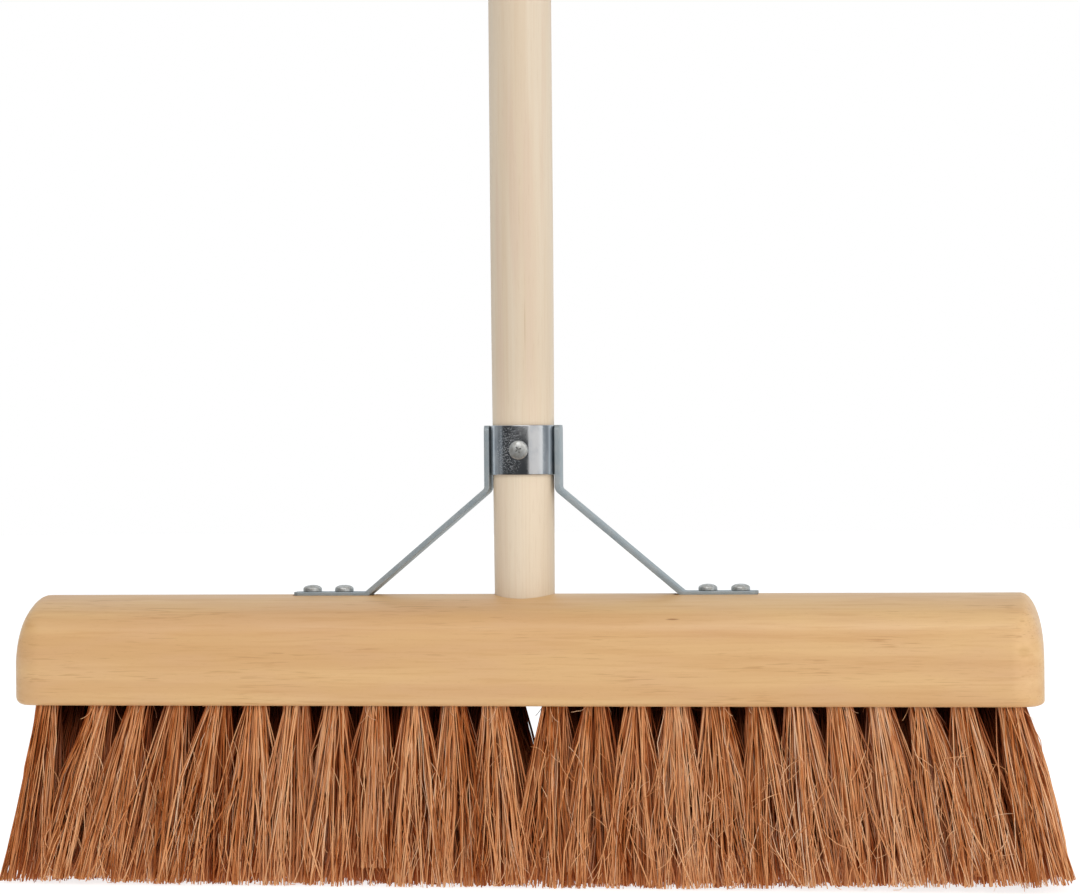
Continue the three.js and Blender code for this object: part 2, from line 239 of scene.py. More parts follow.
def column_place(column):
    """Where a column stands: even steps, a wider gap under the handle and wider end steps."""
    index = column - (tuft_columns - 1) / 2
    end = left_column if index < 0 else right_column
    outermost = stock_half_length - end["margin"]
    steps = abs(index) - 1 / 2
    all_steps = tuft_columns / 2 - 1
    pitch = (outermost - end["pitch"] - centre_gap / 2) / (all_steps - 1)
    place = outermost if steps == all_steps else centre_gap / 2 + steps * pitch
    return math.copysign(place, index)


def tufts_of_row(row):
    """The hole and the middle of the tips of each tuft in a row, drilled a little off its mark."""
    stagger = row % 2
    row_index = row - (tuft_rows - 1) / 2
    tufts = []
    for column in range(tuft_columns - stagger):
        index = column + stagger / 2 - (tuft_columns - 1) / 2
        if index == 0:
            continue
        place = (column_place(column) + column_place(column + stagger)) / 2
        off = drilling.uniform(-drill_wander, drill_wander, 2)
        hole = (place + drill_drift + off[0], row_index * row_pitch + off[1])
        tufts.append((hole, (index * tip_column_pitch + drill_drift, row_index * tip_row_pitch)))
    return tufts


tuft_layout = [tufts_of_row(row) for row in range(tuft_rows)]
cutting_room = 3 * MM
drills = [
    round_bar("drill", Vector((x, y, stock_low.z - cutting_room)),
              Vector((x, y, stock_low.z + tuft_hole_depth)), tuft_hole_radius, tuft_hole_radius)
    for row in tuft_layout for (x, y), _ in row
]

# The tapered socket of the handle.
handle_low, handle_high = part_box("handle")
handle_radius = (handle_high.x - handle_low.x) / 2
handle_foot_radius = 13.25 * MM
handle_taper = 167 * MM
handle_sides = 96
socket_play = 0.06 * MM


def handle_radius_at(z):
    """Radius of the tapered handle at a height."""
    share = min(1, (z - handle_low.z) / handle_taper)
    return handle_foot_radius + (handle_radius - handle_foot_radius) * share


socket_mouth = stock_high.z + cutting_room
drills.append(round_bar(
    "socket", Vector((0, 0, handle_low.z - socket_play)), Vector((0, 0, socket_mouth)),
    handle_radius_at(handle_low.z) + socket_play, handle_radius_at(socket_mouth) + socket_play,
    handle_sides))

# A shallow seat for each foot of the stay, and the holes of the screws that hold the feet.
foot_low, foot_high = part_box("right_leg")
foot_start = 71 * MM
seat_lead = 3.7 * MM
seat_play = 0.25 * MM
for side in (-1, 1):
    ends = [side * (foot_start - seat_lead), side * (foot_high.x + seat_play)]
    seat = [
        [(x, -foot_high.y - seat_play, z), (x, foot_high.y + seat_play, z)]
        for x in ends for z in (foot_low.z, socket_mouth)
    ]
    drills.append(loft("seat", [
        [*seat[0], *reversed(seat[1])],
        [*seat[2], *reversed(seat[3])],
    ]))
cut(stock, drills)

screw_names = [
    f"{side}_foot_screw_{place}" for side in ("left", "right") for place in ("outer", "inner")
]
screw_shank_radius = 2.1 * MM
screw_hole_radius = screw_shank_radius + seat_play
screw_holes = []
for name in screw_names:
    screw_low, screw_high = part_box(name)
    x = (screw_low.x + screw_high.x) / 2
    screw_holes.append(round_bar(
        "hole", Vector((x, 0, screw_low.z - socket_play)), Vector((x, 0, socket_mouth)),
        screw_hole_radius, screw_hole_radius))
cut(stock, screw_holes)


def new_finish(name):
    """A finish with nothing on it yet, and the shader that its surface ends in."""
    finish = bpy.data.materials.new(name)
    finish.use_nodes = True
    return finish, finish.node_tree.nodes["Principled BSDF"]


def feed(finish, socket, value):
    """Sets a socket to a number or colour, or runs another node's output into it."""
    if isinstance(value, bpy.types.NodeSocket):
        finish.node_tree.links.new(value, socket)
    else:
        socket.default_value = value


def add(finish, kind, settings=None, **sockets):
    """A node in a finish, with its settings and what goes into its sockets."""
    made = finish.node_tree.nodes.new("ShaderNode" + kind)
    for key, value in (settings or {}).items():
        setattr(made, key, value)
    for key, value in sockets.items():
        feed(finish, made.inputs[key.replace("_", " ")], value)
    return made


def mixed(finish, share, first, second, how="MIX"):
    """Two colours mixed by a share from 0 to 1."""
    made = add(finish, "Mix", {"data_type": "RGBA", "blend_type": how})
    feed(finish, made.inputs[0], share)
    feed(finish, made.inputs[6], first)
    feed(finish, made.inputs[7], second)
    return made.outputs[2]


def ease(finish, value, low, high, start=0, end=1):
    """A value's stretch from low to high, run smoothly from start to end."""
    made = add(finish, "MapRange", {"interpolation_type": "SMOOTHSTEP"}, Value=value,
               From_Min=low, From_Max=high, To_Min=start, To_Max=end)
    return made.outputs["Result"]


def times(finish, first, second, how="MULTIPLY"):
    """Two numbers multiplied, or put together another way."""
    made = add(finish, "Math", {"operation": how})
    feed(finish, made.inputs[0], first)
    feed(finish, made.inputs[1], second)
    return made.outputs[0]


def relief(finish, surface, height, strength, depth):
    """Gives a surface a fine relief that follows a value."""
    bump = add(finish, "Bump", Height=height, Strength=strength, Distance=depth)
    feed(finish, surface.inputs["Normal"], bump.outputs["Normal"])


def marks(finish, size, detail=3, rough=0.5, shift=(0, 0, 0)):
    """Cloudy noise whose marks are of a size along X, Y and Z."""
    place = add(finish, "TexCoord").outputs["Object"]
    scaled = add(finish, "Mapping", Vector=place, Location=shift,
                 Scale=tuple(1 / length for length in size))
    cloud = add(finish, "TexNoise", Vector=scaled.outputs["Vector"], Scale=1, Detail=detail,
                Roughness=rough)
    return cloud.outputs["Fac"]


def spot(finish, centre, size):
    """1 inside a round or drawn-out spot on the surface, fading to 0 at its edge."""
    place = add(finish, "TexCoord").outputs["Object"]
    scaled = add(finish, "Mapping", {"vector_type": "TEXTURE"}, Vector=place, Location=centre,
                 Scale=size)
    reach = add(finish, "VectorMath", {"operation": "LENGTH"})
    feed(finish, reach.inputs[0], scaled.outputs["Vector"])
    return ease(finish, reach.outputs["Value"], 0.35, 1, 1, 0)


pine, pine_surface = new_finish("varnished_pine")
honey = paint(226, 186, 132)
amber = paint(215, 170, 117)
rose = paint(216, 172, 130)
line_brown = paint(205, 156, 102)
streak_brown = paint(202, 150, 94)
dash_brown = paint(178, 126, 72)
knot_brown = paint(196, 152, 92)
resin_brown = paint(150, 98, 48)
broad_bands = ease(pine, marks(pine, (260 * MM, 26 * MM, 11 * MM), 2), 0.35, 0.65)
soft_clouds = ease(pine, marks(pine, (60 * MM, 30 * MM, 16 * MM), 2, shift=(3, 1, 5)), 0.4, 0.7)
fine_lines = ease(pine, marks(pine, (40 * MM, 1.6 * MM, 1.3 * MM), 4, 0.6), 0.42, 0.66)
dash_field = ease(pine, marks(pine, (70 * MM, 30 * MM, 9 * MM), 1, shift=(9, 2, 4)), 0.45, 0.62)
streaks = ease(pine, marks(pine, (34 * MM, 5 * MM, 1.5 * MM), 2, shift=(5, 3, 1)), 0.52, 0.7)
dashes = ease(pine, marks(pine, (14 * MM, 1.8 * MM, 0.55 * MM), 1, shift=(1, 7, 2)), 0.58, 0.7)
pore_ticks = ease(pine, marks(pine, (3 * MM, 0.6 * MM, 0.45 * MM), 1, shift=(4, 4, 8)), 0.62, 0.72)
colour = mixed(pine, broad_bands, honey, amber)
colour = mixed(pine, times(pine, soft_clouds, 0.4), colour, rose)
colour = mixed(pine, times(pine, fine_lines, 0.16), colour, line_brown)
colour = mixed(pine, times(pine, streaks, 0.26), colour, streak_brown)
colour = mixed(pine, times(pine, times(pine, dashes, dash_field), 0.4), colour, dash_brown)
colour = mixed(pine, times(pine, pore_ticks, 0.1), colour, dash_brown)
knot = spot(pine, (220 * MM, stock_low.y, stock_low.z + 24 * MM), (3.6 * MM, 8 * MM, 3.2 * MM))
colour = mixed(pine, times(pine, knot, 0.36), colour, knot_brown)
resin_streak = spot(pine, (69 * MM, stock_low.y, stock_low.z + 38 * MM),
                    (4.2 * MM, 6 * MM, 0.55 * MM))
colour = mixed(pine, times(pine, resin_streak, 0.8), colour, resin_brown)
feed(pine, pine_surface.inputs["Base Color"], colour)
feed(pine, pine_surface.inputs["Roughness"], ease(pine, fine_lines, 0, 1, 0.42, 0.5))
pine_surface.inputs["Coat Weight"].default_value = 0.1
pine_surface.inputs["Coat Roughness"].default_value = 0.28
relief(pine, pine_surface, fine_lines, 0.12, 0.15 * MM)
dress(stock, pine, "varnished_pine", "stock", edge=28)

# Tufts of coconut fibre
# Each tuft is a bundle of stiff brown fibres, doubled over and wired into its hole. The
# fibres part into locks, splay as they leave the stock, cross their neighbours and are
# trimmed level, with thin pale hairs straying among them.
fibres_per_tuft = 190
rings_per_fibre = 7
fibre_sides = 3
root_spread = 6 * MM
root_depth = 9 * MM
trim_height = stock_low.z
tip_reach_end = stock_half_length + 10.2 * MM
tip_reach_side = stock_half_depth + 3.5 * MM
share_of = {
    "loose": 0.22, "broken": 0.05, "curly": 0.07, "wayward": 0.08,
    "stout": 0.06, "pale": 0.025, "pale_if_curly": 0.3,
}
combing = np.random.default_rng(20)


def disc(count, radius):
    """Points strewn evenly over a disc."""
    angle = combing.uniform(0, 2 * math.pi, count)
    reach = radius * np.sqrt(combing.uniform(0, 1, count))
    return np.stack([reach * np.cos(angle), reach * np.sin(angle)], axis=1)


def within(value, limit, softness):
    """Numbers kept inside a limit, the last stretch before it squeezed and not cut off."""
    over = np.maximum(0, np.abs(value) - (limit - softness))
    kept = limit - softness + softness * np.tanh(over / softness)
    return np.where(over > 0, np.sign(value) * kept, value)


def chosen(kind, count):
    """Which fibres are of a kind, picked by that kind's share of all fibres."""
    return combing.uniform(0, 1, count) < share_of[kind]


def brush_face(inner, outer, run):
    """How far out a face of the brush is, from its outermost holes at run 0 to its tips at 1."""
    return inner + root_spread + (outer - inner - root_spread) * run


# A tuft fans out from its hole, parted into locks that each have a shift, tone and trim.
locks_per_tuft = 10
lock_gather = 0.52
lock_shift = 2.8 * MM
lock_tone_spread = 0.09
lock_trim = (0.4, 2 * MM)
fan_growth = (3, 1.9)
tip_spread = 1.2 * MM
loose_throw = 5 * MM


def tuft_ends(hole, tip):
    """The roots and tips of a tuft's fibres, with the tone and the trim of each one's lock."""
    roots = disc(fibres_per_tuft, root_spread)
    lock_roots = disc(locks_per_tuft, root_spread)
    shift = combing.normal(0, lock_shift, (locks_per_tuft, 2))
    tone = combing.normal(0, lock_tone_spread, locks_per_tuft)
    trim = combing.gamma(*lock_trim, locks_per_tuft)
    lock = np.argmin(((roots[:, None] - lock_roots[None]) ** 2).sum(2), axis=1)
    gathered = lock_roots[lock] + (roots - lock_roots[lock]) * lock_gather
    tips = gathered * fan_growth + shift[lock] + combing.normal(0, tip_spread, roots.shape)
    loose = chosen("loose", fibres_per_tuft)
    tips[loose] += combing.normal(0, loose_throw, (loose.sum(), 2))
    tips += np.array(tip)
    roots += np.array(hole)
    tips[:, 0] = within(tips[:, 0] - drill_drift, tip_reach_end, 10 * MM) + drill_drift
    tips[:, 1] = within(tips[:, 1], tip_reach_side, 6 * MM)
    return roots, tips, tone[lock], trim[lock]


# The tips are trimmed nearly level, and a little shorter towards the right.
uneven_trim = 0.15 * MM
leaning_trim = 0.45
short_trim = 2 * MM
short_trim_start = 60 * MM
short_trim_run = 0.6 * tip_reach_end
broken_length = (3 * MM, 34 * MM)


def fibre_fall(roots, tips, trim):
    """How far each fibre reaches below the stock: less if it leans, and far less if it's broken."""
    count = len(roots)
    lean = np.linalg.norm(tips - roots, axis=1)
    short = np.abs(combing.normal(0, uneven_trim, count)) + trim
    short += leaning_trim * (trim_height - np.sqrt(np.maximum(0, trim_height ** 2 - lean ** 2)))
    short += short_trim * np.clip((tips[:, 0] - short_trim_start) / short_trim_run, 0, 1)
    broken = chosen("broken", count)
    short[broken] += combing.uniform(*broken_length, broken.sum())
    return trim_height - short


# Each fibre is crimped and a little bowed, and some are curly.
crimp_size = (1.4, 0.36 * MM)
crimp_waves = (0.7, 2)
curl_size = (1 * MM, 3 * MM)
bow_size = 1.7 * MM


def crimp_lines(lines, share):
    """Crimps and bows a tuft's fibres below the stock, and tells which of them are curly."""
    count = len(lines)
    crimp = combing.gamma(*crimp_size, count)
    curly = chosen("curly", count)
    crimp[curly] += combing.uniform(*curl_size, curly.sum())
    bow = combing.normal(0, bow_size, (count, 2))
    for axis in (0, 1):
        phase = combing.uniform(0, 2 * math.pi, (count, 1))
        waves = combing.uniform(*crimp_waves, (count, 1))
        sway = np.sin(phase + 2 * math.pi * waves * share[None]) - np.sin(phase)
        lines[:, 1:, axis] += crimp[:, None] * sway * np.minimum(1, share[None] * 2.5)
        lines[:, 1:, axis] += bow[:, axis, None] * np.sin(math.pi * share[None])
    return curly


# The whole brush flares towards both ends and is rounded at its four upright corners.
wayward_throw = 8 * MM
end_flare = 1.35
corner_rounding = 3.5 * MM


def clip_lines(lines, share, hole):
    """Throws some fibres out of line, then keeps all of them inside the faces of the brush."""
    count = len(lines)
    thrown = combing.normal(0, wayward_throw, (count, 2)) * chosen("wayward", (count, 1))
    thrown[:, 0] *= abs(hole[0]) < outer_column - 2 * root_spread
    lines[:, 1:, :2] += thrown[:, None] * share[None, :, None] ** 2
    lines[:, 1:, 1] = within(lines[:, 1:, 1], tip_reach_side, 3 * MM)
    edge = brush_face(outer_column, tip_reach_end, share[None] ** end_flare)
    edge = edge - corner_rounding * (np.abs(lines[:, 1:, 1]) / tip_reach_side) ** 4
    lines[:, 1:, 0] = within(lines[:, 1:, 0] - drill_drift, edge, 0.8 * MM) + drill_drift


# Fibres differ in thickness and tone.
fibre_radius = (0.21 * MM, 0.38 * MM)
stout_radius = (0.38 * MM, 0.48 * MM)
tone_spread = 0.13
pale_tone = (0.8, 1)
pale_thinning = 0.65


def fibre_looks(tone, curly):
    """A radius and a tone for each fibre of a tuft. A few are stout, and a few thin and pale."""
    count = len(tone)
    thick = combing.uniform(*fibre_radius, count)
    stout = chosen("stout", count)
    thick[stout] = combing.uniform(*stout_radius, stout.sum())
    tone = 0.5 + tone + combing.normal(0, tone_spread, count)
    pale = chosen("pale", count) | (curly & chosen("pale_if_curly", count))
    tone[pale] = combing.uniform(*pale_tone, pale.sum())
    thick[pale] *= pale_thinning
    return thick, tone


def tuft_lines(hole, tip):
    """The fibres of one tuft as lines of points, with a radius and a tone for each."""
    roots, tips, lock_tone, trim = tuft_ends(hole, tip)
    fall = fibre_fall(roots, tips, trim)
    share = np.linspace(0, 1, rings_per_fibre - 1)
    lines = np.zeros((fibres_per_tuft, rings_per_fibre, 3))
    lines[:, 0, :2] = roots
    lines[:, 0, 2] = stock_low.z + root_depth
    run = share[None] * (fall / trim_height)[:, None]
    lines[:, 1:, :2] = roots[:, None] + (tips - roots)[:, None] * run[..., None]
    lines[:, 1:, 2] = stock_low.z - share[None] * fall[:, None]
    curly = crimp_lines(lines, share)
    clip_lines(lines, share, hole)
    thick, tone = fibre_looks(lock_tone, curly)
    return lines, thick, tone


strays_per_tuft = 3
stray_length = (3 * MM, 13 * MM)
stray_radius = (0.1 * MM, 0.16 * MM)
stray_tone = (0.6, 1)
stray_fall = 2.4
stray_scatter = 0.35
stray_bend = 0.14
stray_kink = 0.05
stray_reach_end = outer_column + 5 * MM
stray_reach_side = stock_half_depth - 2 * MM


def stray_lines(hole):
    """Thin hairs that curl out sideways where a tuft leaves its hole."""
    count = strays_per_tuft
    start = disc(count, root_spread)
    start *= root_spread / np.linalg.norm(start, axis=1)[:, None]
    lines = np.zeros((count, rings_per_fibre, 3))
    lines[:, 0, :2] = np.array(hole) + start * 0.9
    lines[:, 0, 2] = stock_low.z + 1 * MM
    heading = np.concatenate([start / root_spread, np.full((count, 1), -stray_fall)], axis=1)
    heading += combing.normal(0, stray_scatter, (count, 3))
    step = combing.uniform(*stray_length, (count, 1)) / rings_per_fibre
    bend = combing.normal(0, stray_bend, (count, 3))
    for ring in range(1, rings_per_fibre):
        heading /= np.linalg.norm(heading, axis=1)[:, None]
        lines[:, ring] = lines[:, ring - 1] + heading * step
        heading += np.cross(heading, bend) + combing.normal(0, stray_kink, (count, 3))
        near_wood = lines[:, ring, 2] > stock_low.z - 2.5 * MM
        heading[:, 2] = np.where(near_wood, -np.abs(heading[:, 2]), heading[:, 2])
    lines[:, 1:, 2] = np.minimum(lines[:, 1:, 2], stock_low.z - 0.4 * MM)
    lines[:, :, 0] = within(lines[:, :, 0] - drill_drift, stray_reach_end, 3 * MM) + drill_drift
    lines[:, :, 1] = within(lines[:, :, 1], stray_reach_side, 3 * MM)
    return lines, combing.uniform(*stray_radius, count), combing.uniform(*stray_tone, count)


wisps_per_tuft = 20
wisp_half_length = (3 * MM, 10 * MM)
wisp_radius = (0.1 * MM, 0.2 * MM)
wisp_tone = (0.35, 0.85)
wisp_place = (0.25, 0.95)
wisp_spread = 5 * MM
wisp_curl = 0.2
wisp_arch = 1.6 * MM
neat_wisps = 0.12
messy_wisps = 0.5
mess_start = -60 * MM
mess_run = 160 * MM


def wisp_lines(hole, tip, outward):
    """Loose hairs on the face of an outer row's tuft, lying more slantwise to the right."""
    count = wisps_per_tuft
    mess = neat_wisps + messy_wisps * min(1, max(0, (hole[0] - mess_start) / mess_run))
    share = combing.uniform(*wisp_place, count)
    middle = np.stack([
        hole[0] + (tip[0] - hole[0]) * share + combing.normal(0, wisp_spread, count),
        outward * brush_face(outer_row, tip_reach_side, share),
        stock_low.z - trim_height * share,
    ], axis=1)
    angle = combing.normal(0, mess, count) + (tip[0] - hole[0]) / trim_height
    half_length = combing.uniform(*wisp_half_length, count)
    curl = combing.normal(0, wisp_curl, count)
    along = np.linspace(-1, 1, rings_per_fibre)[None]
    heading = angle[:, None] + curl[:, None] * along
    lines = np.repeat(middle[:, None], rings_per_fibre, axis=1)
    lines[..., 0] += half_length[:, None] * along * np.sin(heading)
    lines[..., 1] -= outward * wisp_arch * (along ** 2 - 0.4)
    lines[..., 2] += half_length[:, None] * along * np.cos(heading)
    lines[..., 0] = within(lines[..., 0] - drill_drift, outer_column, 3 * MM) + drill_drift
    lines[..., 2] = np.clip(lines[..., 2], 1 * MM, stock_low.z - 3 * MM)
    return lines, combing.uniform(*wisp_radius, count), combing.uniform(*wisp_tone, count)


# Painted shade: between the tufts the fibres are coloured darker, most of all near the wood.
core_start = 1.4 * MM
core_depth = 6 * MM
core_fall = 30 * MM


def core_shade(points):
    """How deep in the brush points lie: 0 at its faces, 1 in the painted shade between the tufts.
    """
    fall = stock_low.z - points[..., 2]
    run = np.clip(fall / trim_height, 0, 1)
    face = brush_face(outer_row, tip_reach_side, run)
    end_face = brush_face(outer_column, tip_reach_end, run)
    from_face = np.minimum(face - np.abs(points[..., 1]),
                           end_face - np.abs(points[..., 0] - drill_drift))
    near_wood = np.clip(1 - fall / core_fall, 0, 1)
    return np.clip((from_face - core_start) / core_depth, 0, 1) * (0.5 + 0.5 * near_wood)


tip_thinning = 0.85
floor_clearance = 0.05 * MM


def stem_points(lines, thick):
    """The corners of a three-sided stem round each line, one ring of them at every point."""
    along = np.gradient(lines, axis=1)
    along /= np.linalg.norm(along, axis=2)[..., None]
    side = combing.normal(0, 1, (len(lines), 3))
    taper = np.linspace(1, tip_thinning, rings_per_fibre)
    corners = np.zeros((len(lines), rings_per_fibre, fibre_sides, 3))
    for ring in range(rings_per_fibre):
        side = side - (side * along[:, ring]).sum(1)[:, None] * along[:, ring]
        side /= np.linalg.norm(side, axis=1)[:, None]
        other = np.cross(along[:, ring], side)
        for corner in range(fibre_sides):
            turn = 2 * math.pi * corner / fibre_sides
            spoke = math.cos(turn) * side + math.sin(turn) * other
            corners[:, ring, corner] = lines[:, ring] + spoke * (thick * taper[ring])[:, None]
    corners[..., 2] = np.maximum(corners[..., 2], floor_clearance)
    return corners.reshape(-1, 3)


def stem_faces(count):
    """The walls of so many stems and their two ends, by the numbers of their corners."""
    walls = []
    for ring in range(rings_per_fibre - 1):
        for corner in range(fibre_sides):
            after = (corner + 1) % fibre_sides
            first, second = ring * fibre_sides, (ring + 1) * fibre_sides
            walls.append((first + corner, first + after, second + after, second + corner))
    last_ring = (rings_per_fibre - 1) * fibre_sides
    caps = [tuple(reversed(range(fibre_sides))), tuple(range(last_ring, last_ring + fibre_sides))]
    firsts = (np.arange(count) * rings_per_fibre * fibre_sides)[:, None, None]
    wall_corners = (firsts + np.array(walls)[None]).reshape(-1, 4)
    cap_corners = (firsts + np.array(caps)[None]).reshape(-1, 3)
    return wall_corners.tolist() + cap_corners.tolist()


def fibre_row(name, lines, thick, tone):
    """A row's lines as closed stems carrying each fibre's tone and each ring's painted shade."""
    mesh = bpy.data.meshes.new(name)
    mesh.from_pydata(stem_points(lines, thick).tolist(), [], stem_faces(len(lines)))
    values = {
        "fibre_tone": np.repeat(tone, rings_per_fibre * fibre_sides),
        "core_shade": np.repeat(core_shade(lines), fibre_sides),
    }
    for key, numbers in values.items():
        layer = mesh.attributes.new(key, "FLOAT", "POINT")
        layer.data.foreach_set("value", numbers.astype(np.float32))
    piece = bpy.data.objects.new(name, mesh)
    bpy.context.scene.collection.objects.link(piece)
    return piece


def set_stops(ramp, stops):
    """Gives a colour ramp its stops, each with a place from 0 to 1 and a colour."""
    for number, (place, tint) in enumerate(stops):
        stop = ramp.elements[number] if number < 2 else ramp.elements.new(place)
        stop.position = place
        stop.color = tint


coir, coir_surface = new_finish("coconut_fibre")
tone_value = add(coir, "Attribute", {"attribute_name": "fibre_tone"}).outputs["Fac"]
patchy = marks(coir, (5 * MM, 5 * MM, 14 * MM), 2)
tone_value = times(coir, tone_value, ease(coir, patchy, 0.3, 0.7, -0.1, 0.1), "ADD")
ramp = add(coir, "ValToRGB", Fac=tone_value)
set_stops(ramp.color_ramp, [
    (0.0, paint(120, 50, 18)),
    (0.3, paint(194, 116, 64)),
    (0.5, paint(234, 167, 114)),
    (0.72, paint(242, 188, 140)),
    (1.0, paint(246, 212, 180)),
])
# Painted shade: fibres deep in the brush are tinted warmer and darker, to a deep brown, and darkest
# of all near the wood.
painted_shade_warmth = paint(238, 134, 66)
painted_deep_shade = paint(112, 38, 12)
painted_root_shade = paint(38, 19, 12)
core = add(coir, "Attribute", {"attribute_name": "core_shade"}).outputs["Fac"]
colour = mixed(coir, times(coir, core, 0.7), ramp.outputs["Color"], painted_shade_warmth, "MULTIPLY")
colour = mixed(coir, times(coir, core, 0.85), colour, painted_deep_shade)
colour = mixed(coir, ease(coir, core, 0.5, 1, 0, 0.8), colour, painted_root_shade)
feed(coir, coir_surface.inputs["Base Color"], colour)
coir_surface.inputs["Roughness"].default_value = 0.6
coir_surface.inputs["Specular IOR Level"].default_value = 0

row_names = ["front", "front_inner", "middle", "back_inner", "back"]
outward_of_row = {"front": -1, "back": 1}
for row_name, tufts in zip(row_names, tuft_layout):
    gathered = []
    for hole, tip in tufts:
        gathered.append(tuft_lines(hole, tip))
        gathered.append(stray_lines(hole))
        if row_name in outward_of_row:
            gathered.append(wisp_lines(hole, tip, outward_of_row[row_name]))
    lines, thick, tone = (np.concatenate(parts) for parts in zip(*gathered))
    tuft_row = fibre_row(f"coir_tufts_{row_name}", lines, thick, tone)
    dress(tuft_row, coir, "coconut_fibre", f"bristle_row_{row_name}", edge=180)

# Handle
# A turned pole of pale wood, sanded smooth and left plain. Its foot tapers into the socket,
# and its top end is rounded over.
handle_top_round = 6 * MM
handle_foot_chamfer = 1 * MM
handle_steps = 40
shaft_foot = handle_low.z + handle_foot_chamfer
shaft_run = handle_high.z - handle_top_round - shaft_foot


def level_ring(radius, z, sides):
    """Points round a level circle."""
    angles = [2 * math.pi * k / sides for k in range(sides)]
    return [(radius * math.cos(a), radius * math.sin(a), z) for a in angles]


profile = [
    (handle_foot_radius - handle_foot_chamfer, handle_low.z),
    (handle_foot_radius, shaft_foot),
]
for step in range(1, handle_steps):
    z = shaft_foot + shaft_run * step / handle_steps
    profile.append((handle_radius_at(z), z))
profile += arc((handle_radius - handle_top_round, handle_high.z - handle_top_round),
               handle_top_round, 0, 90, 10)
handle = loft("pole_handle", [level_ring(radius, z, handle_sides) for radius, z in profile])

collar_screw_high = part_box("collar_screw")[1]
pilot_hole = round_bar(
    "pilot", Vector((0, -handle_radius - cutting_room, collar_middle)),
    Vector((0, collar_screw_high.y + socket_play, collar_middle)),
    screw_hole_radius, screw_hole_radius)
cut(handle, [pilot_hole])

pole, pole_surface = new_finish("plain_pole_wood")
cream = paint(218, 202, 180)
straw = paint(214, 195, 170)
blush = paint(213, 191, 169)
# Painted light for the foot of the handle, paler than the wood elsewhere.
painted_light_cream = paint(234, 217, 193)
line_tan = paint(200, 166, 126)
fleck_tan = paint(176, 142, 102)
long_bands = ease(pole, marks(pole, (9 * MM, 9 * MM, 240 * MM), 2), 0.38, 0.62)
blush_bands = ease(pole, marks(pole, (7 * MM, 7 * MM, 120 * MM), 1, shift=(6, 2, 1)), 0.5, 0.68)
pole_lines = ease(pole, marks(pole, (0.9 * MM, 0.9 * MM, 60 * MM), 3, 0.6), 0.44, 0.66)
short_flecks = ease(pole, marks(pole, (0.6 * MM, 0.6 * MM, 9 * MM), 1, shift=(2, 8, 3)), 0.62, 0.7)
colour = mixed(pole, long_bands, cream, straw)
colour = mixed(pole, times(pole, blush_bands, 0.7), colour, blush)
# Painted light: the wood is made paler round the foot of the handle, to lift the shade cast there
# by the stock, the collar and the legs.
painted_foot_light = spot(pole, (0, 0, stock_high.z + 10 * MM), (80 * MM, 80 * MM, 105 * MM))
colour = mixed(pole, times(pole, painted_foot_light, 0.7), colour, painted_light_cream)
colour = mixed(pole, times(pole, pole_lines, 0.12), colour, line_tan)
colour = mixed(pole, times(pole, short_flecks, 0.08), colour, fleck_tan)
hair_crack = spot(pole, (3 * MM, -handle_radius, 246 * MM), (0.35 * MM, 4 * MM, 15 * MM))
colour = mixed(pole, times(pole, hair_crack, 0.3), colour, fleck_tan)
feed(pole, pole_surface.inputs["Base Color"], colour)
feed(pole, pole_surface.inputs["Roughness"], ease(pole, pole_lines, 0, 1, 0.48, 0.56))
relief(pole, pole_surface, pole_lines, 0.1, 0.1 * MM)
dress(handle, pole, "plain_wood", "handle")

# Collar band
# A strip of zinc-plated steel bent round the handle, its seam at the back, its sides pressed
# flat for the legs and one screw through its front. The plating has a cloudy, spangled shine.
band_outer = (collar_high.x - collar_low.x) / 2
band_thickness = band_outer - handle_radius_at(collar_high.z) - socket_play
band_middle = band_outer - band_thickness / 2
side_press = 0.45 * MM
band_flat = band_outer - side_press
band_edge = 0.35 * MM
seam_width = 1.2 * MM
band_steps = 120
sharp_corner_steps = 4


def rounded_strip(width, thickness, edge):
    """Section of a rolled steel strip, width by thickness, with its edges eased."""
    x, y = width / 2 - edge, thickness / 2 - edge
    section = []
    for centre, start in (((x, -y), -90), ((x, y), 0), ((-x, y), 90), ((-x, -y), 180)):
        section += arc(centre, edge, start, start + 90, sharp_corner_steps)
    return section


band_section = rounded_strip(collar_high.z - collar_low.z, band_thickness, band_edge)
seam_turn = seam_width / 2 / band_outer
band_rings = []
for step in range(band_steps + 1):
    angle = math.pi / 2 + seam_turn + (2 * math.pi - 2 * seam_turn) * step / band_steps
    band_rings.append([
        (max(-band_flat, min(band_flat, (band_middle + depth) * math.cos(angle))),
         (band_middle + depth) * math.sin(angle), collar_middle + up)
        for up, depth in band_section
    ])
band = loft("collar_band_steel", band_rings)
screw_passage = round_bar(
    "hole", Vector((0, -band_outer - cutting_room, collar_middle)),
    Vector((0, 0, collar_middle)), screw_hole_radius, screw_hole_radius)
cut(band, [screw_passage])

zinc, zinc_surface = new_finish("bright_zinc")
cloud = ease(zinc, marks(zinc, (5 * MM, 5 * MM, 7 * MM), 3), 0.35, 0.65)
bloom_field = spot(zinc, (-5 * MM, -band_outer, collar_middle), (9 * MM, 9 * MM, 15 * MM))
bloom = ease(zinc, marks(zinc, (0.4 * MM, 0.4 * MM, 0.4 * MM), 2, 0.7), 0.55, 0.66)
bloom = times(zinc, bloom, bloom_field)
colour = mixed(zinc, cloud, paint(190, 194, 200), paint(206, 208, 212))
feed(zinc, zinc_surface.inputs["Base Color"], colour)
feed(zinc, zinc_surface.inputs["Metallic"], ease(zinc, bloom, 0, 1, 1, 0.3))
feed(zinc, zinc_surface.inputs["Roughness"],
     times(zinc, ease(zinc, cloud, 0, 1, 0.13, 0.2), times(zinc, bloom, 0.4), "ADD"))
relief(zinc, zinc_surface, bloom, 0.3, 0.04 * MM)
dress(band, zinc, "zinc_steel", "collar_band")

